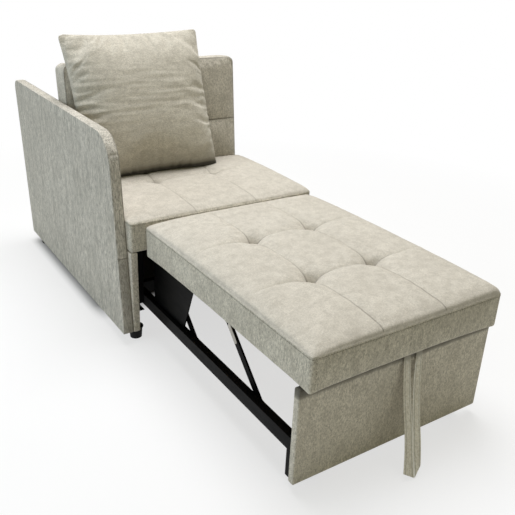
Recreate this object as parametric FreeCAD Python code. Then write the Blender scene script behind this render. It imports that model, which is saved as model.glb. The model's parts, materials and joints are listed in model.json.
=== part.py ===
import FreeCAD, Part
import math
import os

# Chair bed with one arm, opened out: a seat with a fold-down backrest, and a bed section
# that rolls out of the base. Lengths are in mm, angles in degrees.
# The frame: +Z up, the open end of the bed faces -Y, X = 0 and Y = 0 are at the middle
# of the whole object, and Z = 0 is the floor.

# Driving sizes of the chair
overall_width = 754.0
arm_length = 1043.0
arm_lean = 50.0
arm_height = 706.0
arm_thickness = 36.0
arm_front_lean = 53.0
arm_front_rise = 94.0
arm_front_radius = 92.0
arm_rear_radius = 34.0
arm_edge_radius = 9.0
ground_clearance = 41.0
seat_height = 440.0
seat_depth = 516.0
seat_thickness = 108.0
seat_right_inset = 2.0
arm_gap = 1.5
post_width = 24.0
side_board_thickness = 12.0
rear_board_thickness = 22.0
deck_thickness = 18.0
rear_deck_thickness = 12.0
batten_height = 30.0

# Timber core of the arm
core_thickness = 16.0
core_margin = 22.0

# Driving sizes of the backrest
back_top_height = 836.0
back_thickness = 95.0
back_right_inset = 14.0
back_arm_gap = 4.0
back_lean_angle = 5.2
back_seam_height = 592.0
back_cover_thickness = 8.0
back_board_thickness = 15.0
back_board_margin = 26.0
back_corner_radius = 26.0
back_low_swell = 0.5
back_lower_swell = 12.0
back_seam_swell = 4.0
back_upper_swell = 9.0

# Driving sizes of the pull-out section
section_length = 876.0
mattress_left = 94.0
mattress_right_inset = 16.0
mattress_top = 420.0
mattress_thickness = 103.0
platform_thickness = 15.0
platform_side_margin = 14.0
joint_gap = 2.0
panel_left = 87.0
panel_setback = 28.0
panel_thickness = 22.0
panel_bottom = 28.0
panel_top = 313.0
panel_edge_radius = 5.0
rail_width = 25.0
rail_height = 40.0
rail_bottom = 112.0
rail_left = 95.0
rail_side_clearance = 35.0
rail_wall = 1.8
leg_depth = 22.0
leg_thickness = 6.0
leg_bottom = 30.0

# Forms of the cushions
mattress_rise = 20.0
mattress_front_rise = 6.0
mattress_rear_rise = 18.0
seat_rise = 9.0
seat_end_rise = 2.0
side_bulge = 5.0
end_draw = 5.0
edge_drop = 3.0
tuft_depth = 15.0
channel_depth = 3.0
mattress_columns = 3
mattress_rows = 3
seat_columns = 3
seat_first_row = 315.0
board_margin = 24.0

# Lifting links: pivots, bars, ears and pins
link_rise = 171.0
link_run = 180.0
link_pivot_height = 132.0
front_link_setback = 645.0
rear_link_setback = 281.0
link_thickness = 6.0
link_width = 22.0
link_play = 0.3
ear_thickness = 3.0
ear_width = 34.0
pin_radius = 5.0
pin_head_radius = 9.0
pin_head_thickness = 3.0
pin_clearance = 0.05
open_pivot_clearance = 0.1
zinc_plate_length = 46.0
zinc_plate_thickness = 1.5
zinc_plate_width = 15.0
zinc_plate_start = 4.0
lift_plate_thickness = 4.0
lift_plate_offset = 14.0
lift_plate_clearance = 2.0
lift_plate_front_top = 289.0
lift_plate_front_bottom = 225.0
lift_plate_rear = 14.0

# Guide channels and glides
channel_height = 30.0
channel_depth_width = 17.0
channel_wall = 2.0
channel_bottom = 117.0
hanger_thickness = 4.0
glide_length = 60.0
glide_play = 0.4
section_roll_travel = 80.0
glide_stop_margin = 10.0

# Wheels under the front of the section
wheel_radius = 18.0
wheel_width = 20.0
wheel_inset = 75.0
wheel_setback = 14.0
wheel_bore_radius = 4.0
tread_thickness = 4.0
axle_clearance = 0.05
fork_thickness = 3.0
fork_gap = 1.0
fork_plate_thickness = 3.0
fork_plate_length = 44.0

# Feet of the chair
foot_radius = 23.0
foot_taper = 3.0
foot_plate_thickness = 3.0
foot_front_setback = 36.0
foot_rear_setback = 60.0
foot_arm_inset = 26.0
foot_post_shift_x = 20.0
foot_post_shift_y = 5.0

# Ratchet hinges of the backrest
hinge_inset = 90.0
hinge_plate = 5.0
hinge_gap = 0.4
hinge_eye_radius = 14.0
hinge_foot_height = 8.0
hinge_foot_width = 16.0
hinge_arm_length = 128.0
hinge_pin_radius = 5.0
hinge_pin_clearance = 0.05
hinge_pocket = 0.8
deck_gap = 1.0

# Throw pillow
pillow_size = 527.0
pillow_front_depth = 92.0
pillow_rear_depth = 34.0
pillow_edge = 12.0
pillow_draw = 20.0
pillow_lean_angle = 19.0
pillow_turn_angle = 1.3
pillow_swing_angle = 2.3
pillow_from_arm = 276.8
pillow_from_seat_front = 488.5
pillow_below_crown = 10.1

# Pull strap: a flat fabric band folded into a loop over the top of the front panel
strap_width = 23.0
strap_thickness = 2.0
strap_top_gap = 24.0
strap_bottom_gap = 3.0
strap_centre_from_left = 365.0
strap_drift = -42.0
strap_reach = 100.0
strap_end_height = 6.0
strap_fold_height = 26.0
strap_tip_width = 12.0
strap_back_drop = 46.0
strap_clearance = 0.5
strap_bend = 12.0

# How far a cutting block runs past the faces it cuts
overrun = 2.0

# Shares of the sizes above
row_crown_share = 0.55
pillow_half_shares = [-1.0, -0.72, -0.3, 0.3, 0.72, 1.0]
pillow_swell_shares = [0.0, 0.52, 0.94, 0.94, 0.52, 0.0]

# Places worked out from the sizes
left = -overall_width / 2
right = overall_width / 2
arm_inner = left + arm_thickness
chair_rear_reach = arm_length + arm_lean
front_reach = section_length + joint_gap - panel_setback + strap_reach
seat_front = (front_reach - chair_rear_reach) / 2
base_rear = seat_front + arm_length
seat_bottom = seat_height - seat_thickness
seat_left = arm_inner + arm_gap
seat_right = right - seat_right_inset
seat_rear = seat_front + seat_depth
post_right = arm_inner + post_width
side_board_inner = right - side_board_thickness
rear_deck_top = seat_bottom + rear_deck_thickness

back_half = back_thickness / 2
pivot_z = rear_deck_top + deck_gap + back_half
pivot_y = seat_rear + deck_gap + back_half
back_left = arm_inner + back_arm_gap
back_right = right - back_right_inset
back_rise = (back_top_height - pivot_z) / math.cos(math.radians(back_lean_angle))

mattress_x0 = left + mattress_left
mattress_x1 = right - mattress_right_inset
mattress_bottom = mattress_top - mattress_thickness
mattress_rear = seat_front - joint_gap
mattress_front = mattress_rear - section_length
platform_bottom = mattress_bottom

panel_front = mattress_front + panel_setback
panel_rear = panel_front + panel_thickness
panel_x0 = left + panel_left
panel_x1 = right

rail_top = rail_bottom + rail_height
rail_x0 = left + rail_left
rail_x1 = side_board_inner - rail_side_clearance - rail_width
rail_rear = seat_front + glide_stop_margin + section_roll_travel + glide_length
rail_starts = [rail_x0, rail_x1]

link_length = math.hypot(link_rise, link_run)
upper_pivot_height = link_pivot_height + link_rise
front_link_y = seat_front - front_link_setback
rear_link_y = seat_front - rear_link_setback
link_ys = [front_link_y, rear_link_y]
link_starts = [rail_x0 + rail_width + link_play, rail_x1 - link_play - link_thickness]

channel_starts = [post_right, side_board_inner - channel_depth_width]
wheel_y = panel_rear + wheel_setback
wheel_centres = [panel_x0 + wheel_inset, panel_x1 - wheel_inset]
hinge_centres = [back_left + hinge_inset, back_right - hinge_inset]

pillow_turn = math.radians(pillow_turn_angle)
pillow_corner = pillow_size / 2 * (math.cos(pillow_turn) + math.sin(pillow_turn))
pillow_drop = pillow_corner * math.cos(math.radians(pillow_lean_angle))
pillow_centre = FreeCAD.Vector(arm_inner + pillow_from_arm, seat_front + pillow_from_seat_front,
                               seat_height + seat_rise - pillow_below_crown + pillow_drop)


def box(x0, x1, y0, y1, z0, z1):
    """A block between two corners."""
    return Part.makeBox(x1 - x0, y1 - y0, z1 - z0, FreeCAD.Vector(x0, y0, z0))


def rod_x(x0, x1, y, z, radius):
    """A round bar along X."""
    return Part.makeCylinder(radius, x1 - x0, FreeCAD.Vector(x0, y, z), FreeCAD.Vector(1, 0, 0))


def rod_z(x, y, z0, z1, radius):
    """A round bar along Z."""
    return Part.makeCylinder(radius, z1 - z0, FreeCAD.Vector(x, y, z0))


def fuse(shapes):
    """Join touching solids into one."""
    joined = shapes[0]
    for shape in shapes[1:]:
        joined = joined.fuse(shape)
    return joined.removeSplitter()


def slab_yz(points, x0, x1):
    """A flat plate with straight edges, cut from the YZ plane and running from x0 to x1."""
    corners = [FreeCAD.Vector(x0, y, z) for y, z in points]
    wire = Part.makePolygon(corners + corners[:1])
    return Part.Face(wire).extrude(FreeCAD.Vector(x1 - x0, 0, 0))


def bar_between(x0, x1, start, end, width, radius):
    """A flat bar with round ends between two pivots in the YZ plane, with no holes."""
    along = FreeCAD.Vector(0, end[0] - start[0], end[1] - start[1]).normalize()
    side = FreeCAD.Vector(0, -along.z, along.y) * (width / 2)
    first = FreeCAD.Vector(x0, start[0], start[1])
    last = FreeCAD.Vector(x0, end[0], end[1])
    corners = [first + side, last + side, last - side, first - side]
    body = Part.Face(Part.makePolygon(corners + corners[:1])).extrude(FreeCAD.Vector(x1 - x0, 0, 0))
    return fuse([body, rod_x(x0, x1, start[0], start[1], radius), rod_x(x0, x1, end[0], end[1], radius)])


def export(name, shapes):
    """Write one node; a list becomes a group of separate solids."""
    shape = shapes if isinstance(shapes, Part.Shape) else Part.Compound(shapes)
    if not shape.isValid():
        print("not valid:", name)
    shape.exportStep("parts/" + name + ".step")
    print(name, len(shape.Solids), "solids", round(shape.Volume))


def arm_outline(inset, x):
    """The arm's side profile, drawn in by the same amount all round."""
    front_low = FreeCAD.Vector(x, seat_front + inset, ground_clearance + inset)
    rear_low = FreeCAD.Vector(x, base_rear - inset, ground_clearance + inset)
    top = arm_height - inset
    rear_top_y = base_rear + arm_lean - inset
    rear_r = arm_rear_radius
    front_high = FreeCAD.Vector(x, seat_front + arm_front_lean + inset, arm_height - arm_front_rise)
    front_top = FreeCAD.Vector(x, front_high.y + arm_front_radius, top)
    middle_y = front_high.y + arm_front_radius * (1 - math.sqrt(0.5))
    middle_z = front_high.z + (top - front_high.z) * math.sqrt(0.5)
    rear_top = FreeCAD.Vector(x, rear_top_y - rear_r, top)
    rear_high = FreeCAD.Vector(x, rear_top_y, top - rear_r)
    rear_draw = rear_r * (1 - math.sqrt(0.5))
    rear_middle = FreeCAD.Vector(x, rear_top_y - rear_draw, top - rear_draw)
    edges = [
        Part.LineSegment(rear_low, front_low).toShape(),
        Part.LineSegment(front_low, front_high).toShape(),
        Part.Arc(front_high, FreeCAD.Vector(x, middle_y, middle_z), front_top).toShape(),
        Part.LineSegment(front_top, rear_top).toShape(),
        Part.Arc(rear_top, rear_middle, rear_high).toShape(),
        Part.LineSegment(rear_high, rear_low).toShape(),
    ]
    return Part.Wire(edges)


def make_arm_core():
    """The timber panel inside the arm."""
    x0 = left + (arm_thickness - core_thickness) / 2
    return Part.Face(arm_outline(core_margin, x0)).extrude(FreeCAD.Vector(core_thickness, 0, 0))


def make_arm_cover():
    """The padded shell over the timber panel, with rounded edges."""
    body = Part.Face(arm_outline(0, left)).extrude(FreeCAD.Vector(arm_thickness, 0, 0))
    rims = []
    for edge in body.Edges:
        ends = [vertex.X for vertex in edge.Vertexes]
        flat = max(ends) - min(ends) < arm_edge_radius
        if flat:
            rims.append(edge)
    return body.makeFillet(arm_edge_radius, rims).cut(make_arm_core())


def cushion_wire(x0, x1, y, bottom, edge_top, valley_tops, crown_top, bulge):
    """One upright section across a cushion: flat base, bowed sides, and a top of arcs."""
    count = len(valley_tops) + 1
    pitch = (x1 - x0) / count
    tops = [edge_top] + valley_tops + [edge_top]
    points = [FreeCAD.Vector(x0 + pitch * i, y, tops[i]) for i in range(count + 1)]
    low_left = FreeCAD.Vector(x0, y, bottom)
    low_right = FreeCAD.Vector(x1, y, bottom)
    middle = (bottom + edge_top) / 2
    edges = [Part.LineSegment(low_right, low_left).toShape()]
    edges.append(Part.Arc(low_left, FreeCAD.Vector(x0 - bulge, y, middle), points[0]).toShape())
    for i in range(count):
        peak = FreeCAD.Vector((points[i].x + points[i + 1].x) / 2, y, crown_top)
        edges.append(Part.Arc(points[i], peak, points[i + 1]).toShape())
    edges.append(Part.Arc(points[-1], FreeCAD.Vector(x1 + bulge, y, middle), low_right).toShape())
    return Part.Wire(edges)


def tufted_cushion(x0, x1, row_ys, bottom, top, columns, rise, end_rises):
    """A boxed cushion with a crowned top, sewn in panels that meet at deep tufts."""
    rows = len(row_ys) - 1
    edge = top - edge_drop
    tuft = [top + rise - tuft_depth] * (columns - 1)
    channel = [top + rise - channel_depth] * (columns - 1)
    low_crown = top + rise * row_crown_share
    pieces = []
    for row in range(rows):
        y0, y1 = row_ys[row], row_ys[row + 1]
        first, last = row == 0, row == rows - 1
        wires = []
        for y, at_end, end_rise in ((y0, first, end_rises[0]), ((y0 + y1) / 2, None, 0),
                                    (y1, last, end_rises[1])):
            if at_end is None:
                wires.append(cushion_wire(x0 + side_bulge, x1 - side_bulge, y, bottom, edge,
                                          channel, top + rise, side_bulge))
            elif at_end:
                end_crown = top + end_rise
                flat = [end_crown - channel_depth / 2] * (columns - 1)
                wires.append(cushion_wire(x0 + side_bulge + end_draw, x1 - side_bulge - end_draw, y,
                                          bottom, edge, flat, end_crown, side_bulge / 2))
            else:
                wires.append(cushion_wire(x0 + side_bulge, x1 - side_bulge, y, bottom, edge,
                                          tuft, low_crown, side_bulge))
        pieces.append(Part.makeLoft(wires, True, False))
    return fuse(pieces)


def make_seat_deck():
    """The plywood board inside the seat's lower edge."""
    return box(seat_left + board_margin, seat_right - board_margin, seat_front + board_margin,
               seat_rear - board_margin, seat_bottom, seat_bottom + deck_thickness)


def make_seat_cushion():
    """The tufted seat, recessed underneath for its board."""
    rows = [seat_front, seat_front + seat_first_row, seat_rear]
    body = tufted_cushion(seat_left, seat_right, rows, seat_bottom, seat_height, seat_columns,
                          seat_rise, [seat_end_rise, seat_end_rise])
    return body.cut(make_seat_deck())


def make_platform_board():
    """The board that carries the mattress section."""
    return box(mattress_x0 + platform_side_margin, mattress_x1 - platform_side_margin,
               mattress_front + board_margin, mattress_rear - board_margin,
               mattress_bottom, mattress_bottom + platform_thickness)


def make_mattress():
    """The tufted bed section, recessed underneath for its board."""
    pitch = section_length / mattress_rows
    rows = [mattress_front + pitch * i for i in range(mattress_rows + 1)]
    body = tufted_cushion(mattress_x0, mattress_x1, rows, mattress_bottom, mattress_top, mattress_columns,
                          mattress_rise, [mattress_front_rise, mattress_rear_rise])
    return body.cut(make_platform_board())


def make_base():
    """Upholstered boards of the base and the decks on them."""
    parts = {
        "front_post_left": box(arm_inner, post_right, seat_front, seat_front + post_width * 2,
                               ground_clearance, seat_bottom),
        "side_board_right": box(side_board_inner, right, seat_front, base_rear,
                                ground_clearance, seat_bottom),
        "rear_board": box(arm_inner, side_board_inner, base_rear - rear_board_thickness, base_rear,
                          ground_clearance, seat_bottom),
        "deck_batten": box(arm_inner, post_right, seat_front + post_width * 2,
                           base_rear - rear_board_thickness, seat_bottom - batten_height, seat_bottom),
        "rear_deck": box(arm_inner, right, seat_rear + deck_gap, base_rear, seat_bottom, rear_deck_top),
    }
    for name, shape in parts.items():
        export(name, shape)


def make_guide_channels():
    """A steel channel on each side of the base, open inwards, for the glides."""
    y0, y1 = seat_front + channel_wall, base_rear - rear_board_thickness - channel_wall
    top = channel_bottom + channel_height
    for side, x0, mouth in (("left", channel_starts[0], 1), ("right", channel_starts[1], -1)):
        x1 = x0 + channel_depth_width
        body = box(x0, x1, y0, y1, channel_bottom, top)
        inner0 = x0 + channel_wall if mouth > 0 else x0 - overrun
        inner1 = x1 + overrun if mouth > 0 else x1 - channel_wall
        hollow = box(inner0, inner1, y0 - overrun, y1 + overrun,
                     channel_bottom + channel_wall, top - channel_wall)
        export("guide_channel_" + side, body.cut(hollow))


def make_feet():
    """Short tapered feet under the corners of the chair."""
    plate_radius = foot_radius + foot_taper
    xs = {"left": arm_inner + foot_arm_inset - foot_radius, "right": right - plate_radius}
    ys = {"front": seat_front + foot_front_setback, "rear": base_rear - foot_rear_setback}
    places = {(side, end): (x, y) for side, x in xs.items() for end, y in ys.items()}
    # the front left foot stands under the post
    places["left", "front"] = (xs["left"] + foot_post_shift_x, ys["front"] + foot_post_shift_y)
    for (side, end), (x, y) in places.items():
        top = ground_clearance - foot_plate_thickness
        cone = Part.makeCone(foot_radius - foot_taper, foot_radius, top, FreeCAD.Vector(x, y, 0))
        plate = rod_z(x, y, top, ground_clearance, plate_radius)
        export("foot_" + end + "_" + side, fuse([cone, plate]))


def back_place(shape):
    """Lean an upright backrest piece and set it on its pivot."""
    placed = shape.copy()
    placed.rotate(FreeCAD.Vector(0, 0, 0), FreeCAD.Vector(1, 0, 0), -back_lean_angle)
    placed.translate(FreeCAD.Vector(0, pivot_y, pivot_z))
    return placed


def back_wire(z, inset, front, rear, swell):
    """A level section through the upright backrest, bowed at the front."""
    x0, x1 = back_left + inset, back_right - inset
    corners = [FreeCAD.Vector(x0, rear, z), FreeCAD.Vector(x0, front, z),
               FreeCAD.Vector(x1, front, z), FreeCAD.Vector(x1, rear, z)]
    bow = FreeCAD.Vector((x0 + x1) / 2, front - swell, z)
    edges = [
        Part.LineSegment(corners[0], corners[1]).toShape(),
        Part.Arc(corners[1], bow, corners[2]).toShape(),
        Part.LineSegment(corners[2], corners[3]).toShape(),
        Part.LineSegment(corners[3], corners[0]).toShape(),
    ]
    return Part.Wire(edges)


def make_back_board():
    """The plywood board inside the backrest, behind its padding."""
    rear = back_half - back_cover_thickness
    return box(back_left + back_board_margin, back_right - back_board_margin,
               rear - back_board_thickness, rear,
               back_half, back_rise - back_board_margin)


def hinge_arm(x):
    """The moving half of a ratchet hinge: a toothed eye on the pin and an arm up to the frame."""
    x0, x1 = x + hinge_gap / 2, x + hinge_gap / 2 + hinge_plate
    rear = back_half - back_cover_thickness - back_board_thickness
    arm = box(x0, x1, rear - hinge_eye_radius, rear, 0, hinge_arm_length)
    eye = rod_x(x0, x1, 0, 0, hinge_eye_radius)
    return fuse([arm, eye]).cut(rod_x(x0 - overrun, x1 + overrun, 0, 0, hinge_pin_radius))


def hinge_pocket_block(x):
    """Room in the cushion for both halves of a hinge while the backrest folds."""
    half = hinge_foot_width / 2 + hinge_pocket
    reach = back_half + overrun
    front = -hinge_eye_radius - hinge_pocket
    rear = back_half - back_cover_thickness - back_board_thickness
    low = box(x - half, x + half, front, reach, -reach, -front)
    high = box(x - half, x + half, front, rear, 0, hinge_arm_length + hinge_pocket)
    return fuse([low, high])


def make_back_cushion():
    """The padded block of the backrest, with a sewn line and a round lower end."""
    rear = back_half - back_cover_thickness
    tall = math.cos(math.radians(back_lean_angle))
    seam = (back_seam_height - pivot_z) / tall
    plain = (seat_height + seat_rise + deck_gap - pivot_z) / tall
    top_draw = back_corner_radius / 2
    low_block = box(back_left, back_right, -back_half, rear, 0, plain)
    lower = Part.makeLoft([
        back_wire(plain, 0, -back_half, rear, back_low_swell),
        back_wire((plain + seam) / 2, 0, -back_half, rear, back_lower_swell),
        back_wire(seam, 0, -back_half, rear, back_seam_swell)], True, False)
    upper = Part.makeLoft([
        back_wire(seam, 0, -back_half, rear, back_seam_swell),
        back_wire((seam + back_rise) / 2, 0, -back_half, rear, back_upper_swell),
        back_wire(back_rise, top_draw, -back_half + top_draw, rear, back_seam_swell)], True, False)
    roll = rod_x(back_left, back_right, 0, 0, back_half)
    roll = roll.cut(box(back_left - overrun, back_right + overrun,
                        -back_thickness, back_thickness, 0, back_thickness))
    body = fuse([low_block, lower, upper, roll])
    body = body.cut(make_back_board())
    for x in hinge_centres:
        body = body.cut(hinge_pocket_block(x))
    return body


def make_backrest():
    """The pieces that fold down together."""
    rear = back_half - back_cover_thickness
    cover = box(back_left, back_right, rear, back_half, hinge_eye_radius + hinge_pocket, back_rise)
    pieces = {
        "back_cushion": make_back_cushion(),
        "back_board": make_back_board(),
        "back_cover": cover,
        "hinge_arm_left": hinge_arm(hinge_centres[0]),
        "hinge_arm_right": hinge_arm(hinge_centres[1]),
    }
    for name, shape in pieces.items():
        export(name, back_place(shape))


def make_hinge_bases():
    """The fixed halves of the ratchet hinges, screwed to the rear deck, with their pins."""
    pins = []
    for side, x in zip(("left", "right"), hinge_centres):
        x1 = x - hinge_gap / 2
        x0 = x1 - hinge_plate
        foot = box(x - hinge_foot_width / 2, x + hinge_foot_width / 2, pivot_y - hinge_eye_radius,
                   pivot_y + hinge_eye_radius, rear_deck_top, rear_deck_top + hinge_foot_height)
        plate = box(x0, x1, pivot_y - hinge_eye_radius, pivot_y + hinge_eye_radius, rear_deck_top, pivot_z)
        eye = rod_x(x0, x1, pivot_y, pivot_z, hinge_eye_radius)
        leaf = fuse([foot, plate, eye])
        pin = hinge_pin_radius - hinge_pin_clearance
        leaf = leaf.cut(rod_x(x0 - overrun, x1 + overrun, pivot_y, pivot_z, pin))
        export("hinge_base_" + side, leaf)
        reach = hinge_gap / 2 + hinge_plate
        pins.append(rod_x(x - reach, x + reach, pivot_y, pivot_z, pin))
    export("hinge_pins", pins)


def make_pillow():
    """A square throw pillow: sections between two side seams, swelling to the middle."""
    half = pillow_size / 2
    wires = []
    for along, swell in zip(pillow_half_shares, pillow_swell_shares):
        height = half - pillow_draw * (1 - along * along)
        least = pillow_edge / 2
        front_depth = least + (pillow_front_depth - least) * swell
        rear_depth = least + (pillow_rear_depth - least) * swell
        x = half * along
        low = FreeCAD.Vector(x, 0, -height)
        high = FreeCAD.Vector(x, 0, height)
        front = Part.Arc(low, FreeCAD.Vector(x, -front_depth, 0), high).toShape()
        back = Part.Arc(high, FreeCAD.Vector(x, rear_depth, 0), low).toShape()
        wires.append(Part.Wire([front, back]))
    body = Part.makeLoft(wires, True, False)
    body.rotate(FreeCAD.Vector(0, 0, 0), FreeCAD.Vector(0, 1, 0), -pillow_turn_angle)
    body.rotate(FreeCAD.Vector(0, 0, 0), FreeCAD.Vector(1, 0, 0), -pillow_lean_angle)
    body.rotate(FreeCAD.Vector(0, 0, 0), FreeCAD.Vector(0, 0, 1), -pillow_swing_angle)
    body.translate(pillow_centre)
    return body


def tube_y(x0, y0, y1):
    """A square-cut rail tube along Y with its wall."""
    outer = box(x0, x0 + rail_width, y0, y1, rail_bottom, rail_top)
    inner = box(x0 + rail_wall, x0 + rail_width - rail_wall, y0 - overrun, y1 + overrun,
                rail_bottom + rail_wall, rail_top - rail_wall)
    return outer.cut(inner)


def make_section_frame():
    """Rails, cross tubes, front panel and legs of the pull-out section."""
    inner0, inner1 = rail_x0 + rail_width, rail_x1
    for side, x0, wall_x in (("left", rail_x0, inner0 - rail_wall), ("right", rail_x1, rail_x1)):
        tube = tube_y(x0, panel_rear, rail_rear)
        for y in link_ys:
            hole = rod_x(wall_x, wall_x + rail_wall, y, link_pivot_height, pin_radius - pin_clearance)
            tube = tube.cut(hole)
        export("rail_" + side, tube)
    for name, y0 in (("front_cross_tube", panel_rear), ("rear_cross_tube", rail_rear - rail_width)):
        outer = box(inner0, inner1, y0, y0 + rail_width, rail_bottom, rail_top)
        hollow = box(inner0 - overrun, inner1 + overrun, y0 + rail_wall, y0 + rail_width - rail_wall,
                     rail_bottom + rail_wall, rail_top - rail_wall)
        export(name, outer.cut(hollow))
    panel = box(panel_x0, panel_x1, panel_front, panel_rear, panel_bottom, panel_top)
    export("front_panel", panel.makeFillet(panel_edge_radius, panel.Edges))
    legs = {"left": rail_x0, "right": rail_x1 + rail_width - leg_thickness}
    for side, x0 in legs.items():
        export("panel_leg_" + side, box(x0, x0 + leg_thickness, panel_rear, panel_rear + leg_depth,
                                        leg_bottom, rail_bottom))


def link_pivots(end_y):
    """Lower and upper pivot of a link, as places in the YZ plane."""
    return (end_y, link_pivot_height), (end_y + link_run, upper_pivot_height)


def upper_ear(x0, y, z):
    """A plate under the platform board with a round end on the pivot."""
    plate = box(x0, x0 + ear_thickness, y - ear_width / 2, y + ear_width / 2, z, platform_bottom)
    eye = rod_x(x0, x0 + ear_thickness, y, z, ear_width / 2)
    below = box(x0, x0 + ear_thickness, y - ear_width, y + ear_width, z - ear_width, z)
    hole = rod_x(x0 - overrun, x0 + ear_thickness + overrun, y, z, pin_radius)
    return fuse([plate, eye.common(below)]).cut(hole)


def headed_pin(shank_x, head_x, y, z):
    """A pin along X between two places, with its head beyond the second."""
    radius = pin_radius - pin_clearance
    outward = 1 if head_x > shank_x else -1
    head_end = head_x + pin_head_thickness * outward
    shank = rod_x(min(shank_x, head_x), max(shank_x, head_x), y, z, radius)
    head = rod_x(min(head_x, head_end), max(head_x, head_end), y, z, pin_head_radius)
    return fuse([shank, head])


def make_links():
    """Front and rear links on each side, their ears, pins and bright end plates."""
    ears, lower_pins, upper_pins = [], [], []
    for end, end_y in zip(("front", "rear"), link_ys):
        top_clearance = 0 if end == "front" else open_pivot_clearance
        low, top = link_pivots(end_y)
        for side, x0, inward in zip(("left", "right"), link_starts, (1, -1)):
            x1 = x0 + link_thickness
            inner, outer = (x1, x0) if inward > 0 else (x0, x1)
            bar = bar_between(x0, x1, low, top, link_width, link_width / 2)
            bar = bar.cut(rod_x(x0 - overrun, x1 + overrun, low[0], low[1], pin_radius))
            bar = bar.cut(rod_x(x0 - overrun, x1 + overrun, top[0], top[1], pin_radius + top_clearance))
            export(end + "_link_" + side, bar)
            ear_x = inner + link_play * inward
            ear_start = ear_x if inward > 0 else ear_x - ear_thickness
            ears.append(upper_ear(ear_start, top[0], top[1]))
            rail_face = outer - link_play * inward
            lower_pins.append(headed_pin(rail_face - rail_wall * inward, ear_x, low[0], low[1]))
            head_x = outer - link_play * inward
            upper_pins.append(headed_pin(ear_x + ear_thickness * inward, head_x, top[0], top[1]))
    export("upper_link_ears", ears)
    export("lower_link_pins", lower_pins)
    export("upper_link_pins", upper_pins)


def make_zinc_plates():
    """A bright plate riveted to the inner face of each front link, below its upper pivot."""
    low, top = link_pivots(front_link_y)
    along = ((low[0] - top[0]) / link_length, (low[1] - top[1]) / link_length)
    set_back = ear_width / 2 + zinc_plate_start
    start = (top[0] + along[0] * set_back, top[1] + along[1] * set_back)
    end = (start[0] + along[0] * zinc_plate_length, start[1] + along[1] * zinc_plate_length)
    for side, x0, inward in zip(("left", "right"), link_starts, (1, -1)):
        face = x0 - zinc_plate_thickness if inward > 0 else x0 + link_thickness
        plate = bar_between(face, face + zinc_plate_thickness, start, end,
                            zinc_plate_width, zinc_plate_width / 2)
        export("link_end_plate_" + side, plate)


def make_lift_plates():
    """Black side plates under the platform, above the rails, with a slanted front edge."""
    bottom = rail_top + lift_plate_clearance
    rear = seat_front - lift_plate_rear
    points = [(seat_front - lift_plate_front_top, platform_bottom), (rear, platform_bottom),
              (rear, bottom), (seat_front - lift_plate_front_bottom, bottom)]
    starts = [rail_x0 + lift_plate_offset, rail_x1 + rail_width - lift_plate_offset - lift_plate_thickness]
    for side, x0 in zip(("left", "right"), starts):
        export("lift_plate_" + side, slab_yz(points, x0, x0 + lift_plate_thickness))


def make_wheels():
    """Two wheels under the front of the section, each in a fork below the cross tube."""
    half = wheel_width / 2
    for side, x in zip(("left", "right"), wheel_centres):
        bore_radius = wheel_bore_radius + axle_clearance
        hub_bore = rod_x(x - wheel_width, x + wheel_width, wheel_y, wheel_radius, bore_radius)
        core = rod_x(x - half, x + half, wheel_y, wheel_radius, wheel_radius - tread_thickness)
        tread = rod_x(x - half, x + half, wheel_y, wheel_radius, wheel_radius)
        export("wheel_tread_" + side, tread.cut(core))
        export("wheel_hub_" + side, core.cut(hub_bore))
        reach = half + fork_gap + fork_thickness
        plate = box(x - reach, x + reach, panel_rear, panel_rear + fork_plate_length,
                    rail_bottom - fork_plate_thickness, rail_bottom)
        legs = []
        for x0 in (x - reach, x + reach - fork_thickness):
            y0, y1 = wheel_y - wheel_setback + overrun, wheel_y + wheel_setback - overrun
            leg = box(x0, x0 + fork_thickness, y0, y1, wheel_radius, rail_bottom - fork_plate_thickness)
            legs += [leg, rod_x(x0, x0 + fork_thickness, wheel_y, wheel_radius, (y1 - y0) / 2)]
        bore = rod_x(x - reach - overrun, x + reach + overrun, wheel_y, wheel_radius, wheel_bore_radius)
        export("wheel_fork_" + side, fuse([plate] + legs).cut(bore))
        export("wheel_axle_" + side, rod_x(x - reach, x + reach, wheel_y, wheel_radius, wheel_bore_radius))


def make_glides():
    """Nylon glides on the rear ends of the rails, running inside the guide channels."""
    z0 = channel_bottom + channel_wall + glide_play
    z1 = channel_bottom + channel_height - channel_wall - glide_play
    spans = {"left": (channel_starts[0] + channel_wall + glide_play, rail_x0),
             "right": (rail_x1 + rail_width, side_board_inner - channel_wall - glide_play)}
    for side, (x0, x1) in spans.items():
        export("glide_" + side, box(x0, x1, rail_rear - glide_length, rail_rear, z0, z1))


def make_channel_hangers():
    """Steel uprights that hang the guide channels from the deck, at the front and the rear."""
    top = channel_bottom + channel_height
    y_front = seat_front + channel_wall
    y_rear = base_rear - rear_board_thickness - channel_wall - hanger_thickness
    hangers = []
    for y0 in (y_front, y_rear):
        for x0 in channel_starts:
            hangers.append(box(x0, x0 + channel_depth_width, y0, y0 + hanger_thickness, top, seat_bottom))
    export("channel_hangers", hangers)


def strap_wire(x0, x1, centre, normal):
    """A flat rectangular section of the strap across its run."""
    half = FreeCAD.Vector(0, normal[0], normal[1]) * (strap_thickness / 2)
    middle0 = FreeCAD.Vector(x0, centre[0], centre[1])
    middle1 = FreeCAD.Vector(x1, centre[0], centre[1])
    corners = [middle0 - half, middle1 - half, middle1 + half, middle0 + half]
    return Part.makePolygon(corners + corners[:1])


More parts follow.
